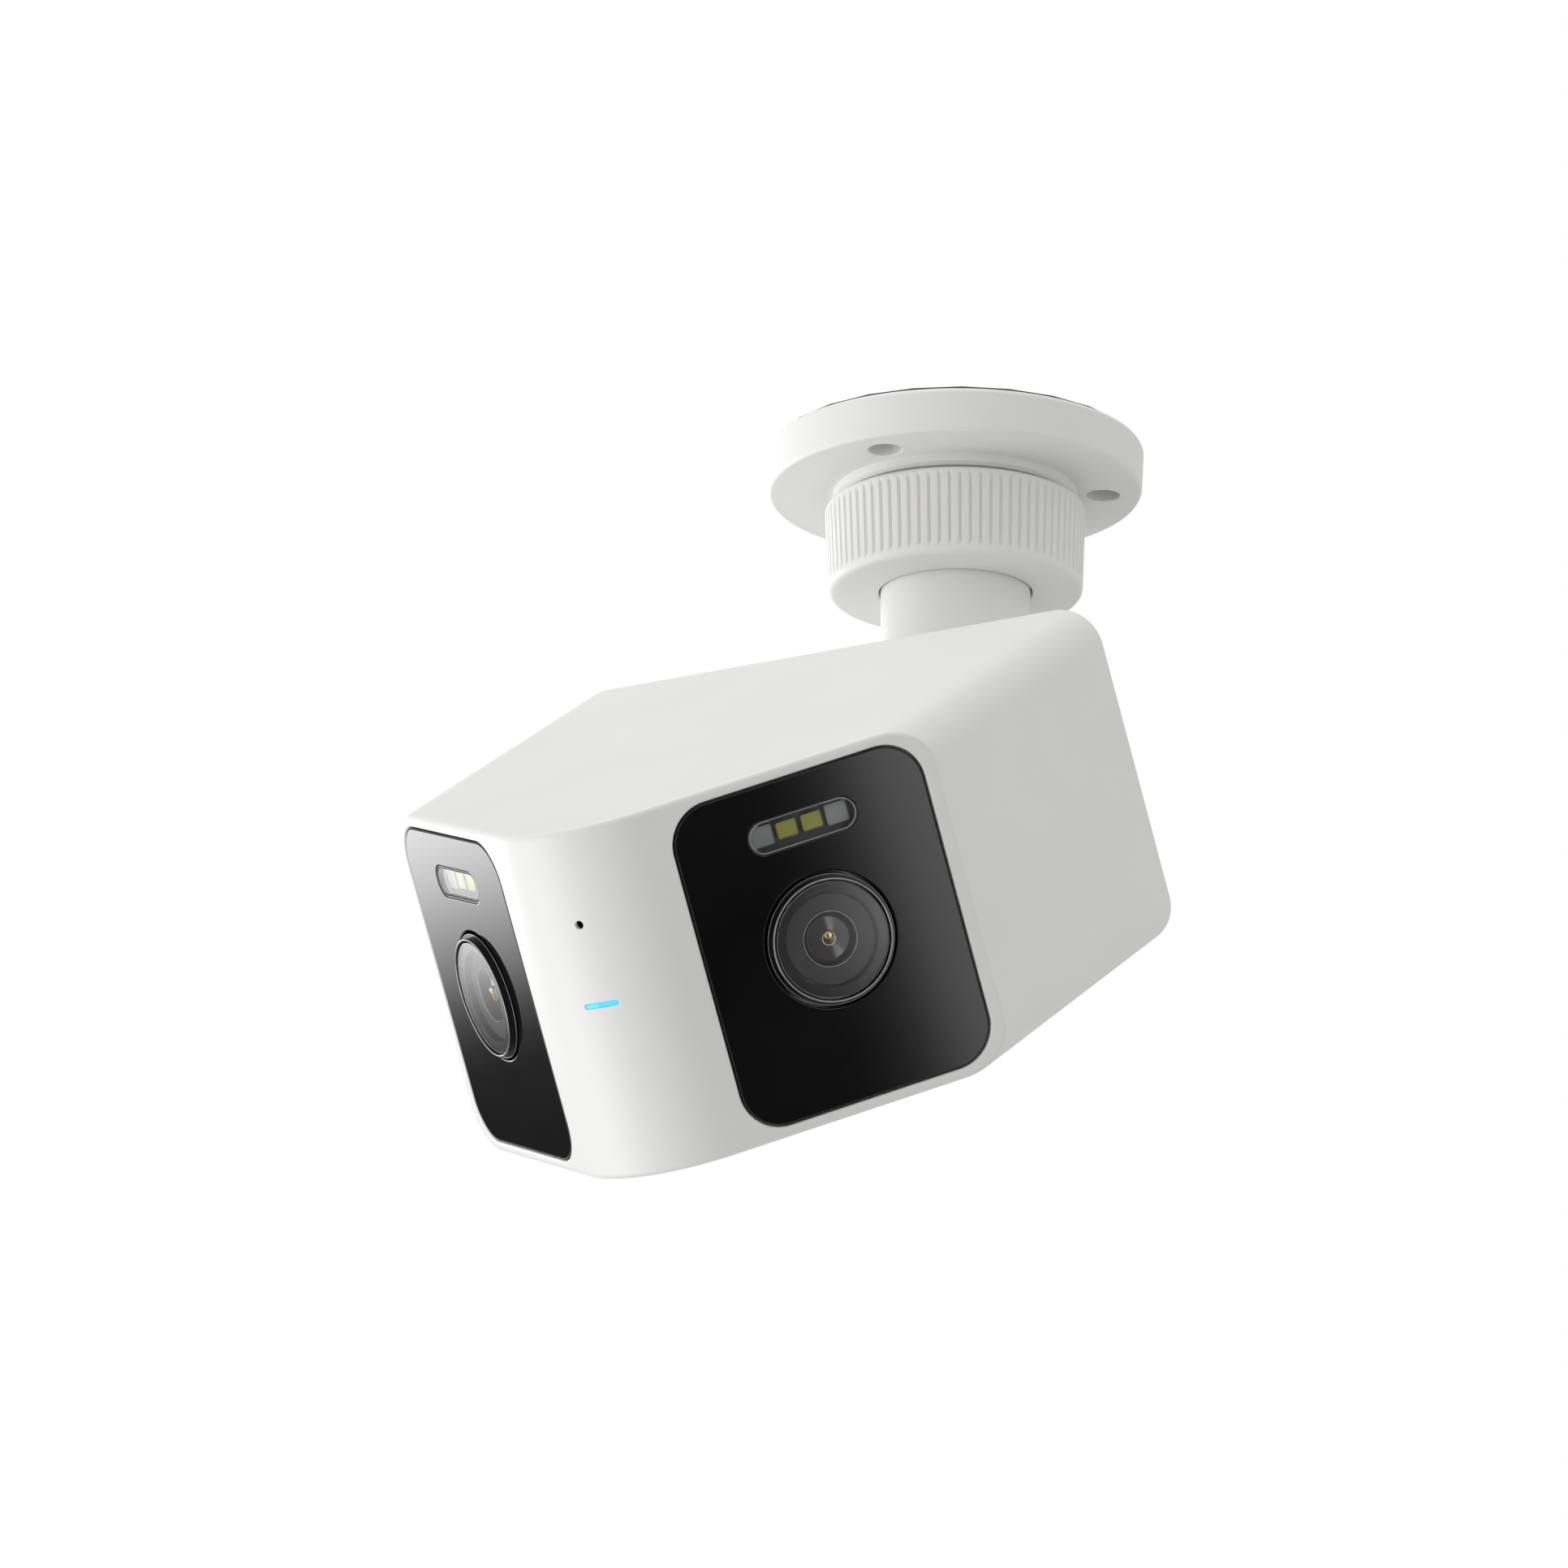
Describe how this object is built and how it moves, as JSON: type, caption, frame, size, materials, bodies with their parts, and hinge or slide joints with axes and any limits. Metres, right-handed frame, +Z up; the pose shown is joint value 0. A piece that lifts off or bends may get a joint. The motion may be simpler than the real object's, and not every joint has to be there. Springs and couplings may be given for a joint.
{
  "type": "floodlight security camera",
  "caption": "Ceiling-mounted outdoor camera: round plate, knurled locking ring, swivelling post and tilting V-front body with camera and LED windows",
  "frame": {"origin": "centre of the base plate's mounting face, where it meets the ceiling", "axes": "+Z up, out of the mounting face; -Y the way the body points at rest; +X along the tilt axis, to the right for someone facing the front"},
  "size_m": [0.0988, 0.169, 0.157],
  "materials": {
    "mount_pad": "matte foam",
    "mount_plate": "satin",
    "locking_ring": "satin",
    "washer": "matte",
    "post": "satin",
    "steel": "satin",
    "housing": "satin",
    "rear_cover": "satin",
    "rubber": "matte",
    "window_panel_right": "gloss",
    "led_window": "clear, polished",
    "led_board": "matte white solder mask",
    "led_infrared": "smooth",
    "led_white": "phosphor",
    "aluminium": "brushed",
    "lens_trim": "gloss",
    "lens_glass": "polished, coated",
    "lens_barrel": "matte",
    "lens_element": "coated",
    "infrared_filter": "coated",
    "circuit_board": "solder mask",
    "window_panel_left": "gloss",
    "shield": "bright",
    "status_light": "diffusing, lit blue",
    "speaker": "matte",
    "service_door": "satin"
  },
  "bodies": {
    "base": {"mount_pad": "mount_pad", "mount_plate": "mount_plate", "swivel_washer": "washer"},
    "ring": {"locking_ring": "locking_ring"},
    "swivel": {"post": "post", "tilt_washer_right": "washer", "tilt_washer_left": "washer", "tilt_bolt": "steel", "tilt_nut": "steel"},
    "head": {"housing": "housing", "rear_cover": "rear_cover", "rear_gasket": "rubber", "cover_screw_1": "steel", "cover_screw_2": "steel", "cover_screw_3": "steel", "cover_screw_4": "steel", "cable_gland": "rubber", "window_panel_right": "window_panel_right", "led_window_right": "led_window", "led_board_right": "led_board", "led_infrared_right_a": "led_infrared", "led_white_right_a": "led_white", "led_white_right_b": "led_white", "led_infrared_right_b": "led_infrared", "camera_bracket_right": "aluminium", "lens_trim_right": "lens_trim", "lens_glass_right": "lens_glass", "lens_barrel_right": "lens_barrel", "lens_element_right": "lens_element", "lens_holder_right": "lens_barrel", "sensor_board_right": "circuit_board", "window_panel_left": "window_panel_left", "led_window_left": "led_window", "led_board_left": "led_board", "led_infrared_left_a": "led_infrared", "led_white_left_a": "led_white", "led_white_left_b": "led_white", "led_infrared_left_b": "led_infrared", "camera_bracket_left": "aluminium", "lens_trim_left": "lens_trim", "lens_glass_left": "lens_glass", "lens_barrel_left": "lens_barrel", "lens_element_left": "lens_element", "lens_holder_left": "lens_barrel", "sensor_board_left": "circuit_board", "nose_board": "circuit_board", "microphone": "shield", "status_light_pipe": "status_light", "chassis": "aluminium", "main_board": "circuit_board", "shield_can": "shield", "speaker": "speaker", "service_board": "circuit_board"},
    "filter_right": {"infrared_filter_right": "infrared_filter"},
    "filter_left": {"infrared_filter_left": "infrared_filter"},
    "door": {"service_door": "service_door"},
    "reset": {"reset_button": "rubber"}
  },
  "joints": [
    {"name": "ring_turn", "type": "hinge", "parent": "base", "child": "ring", "pos_m": [0, 0, -0.0186], "axis": [0, 0, 1], "range_deg": [-270, 0]},
    {"name": "pan", "type": "hinge", "parent": "base", "child": "swivel", "pos_m": [0, 0, -0.0226], "axis": [0, 0, 1], "range_deg": [-180, 180]},
    {"name": "tilt", "type": "hinge", "parent": "swivel", "child": "head", "pos_m": [0, 0, -0.0555], "axis": [1, 0, 0], "range_deg": [-22.5, 50]},
    {"name": "filter_slide_right", "type": "slide", "parent": "head", "child": "filter_right", "axis": [0.7373, 0.5698, 0.363], "range_m": [0, 0.007]},
    {"name": "filter_slide_left", "type": "slide", "parent": "head", "child": "filter_left", "axis": [-0.7373, 0.5698, 0.363], "range_m": [0, 0.007]},
    {"name": "door_hinge", "type": "hinge", "parent": "head", "child": "door", "pos_m": [0, -0.02979, -0.10738], "axis": [1, 0, 0], "range_deg": [0, 100]},
    {"name": "reset_press", "type": "slide", "parent": "head", "child": "reset", "axis": [0, -0.5373, 0.8434], "range_m": [0, 0.0008], "stiffness_N_per_m": 800, "springref_m": -0.0005}
  ]
}
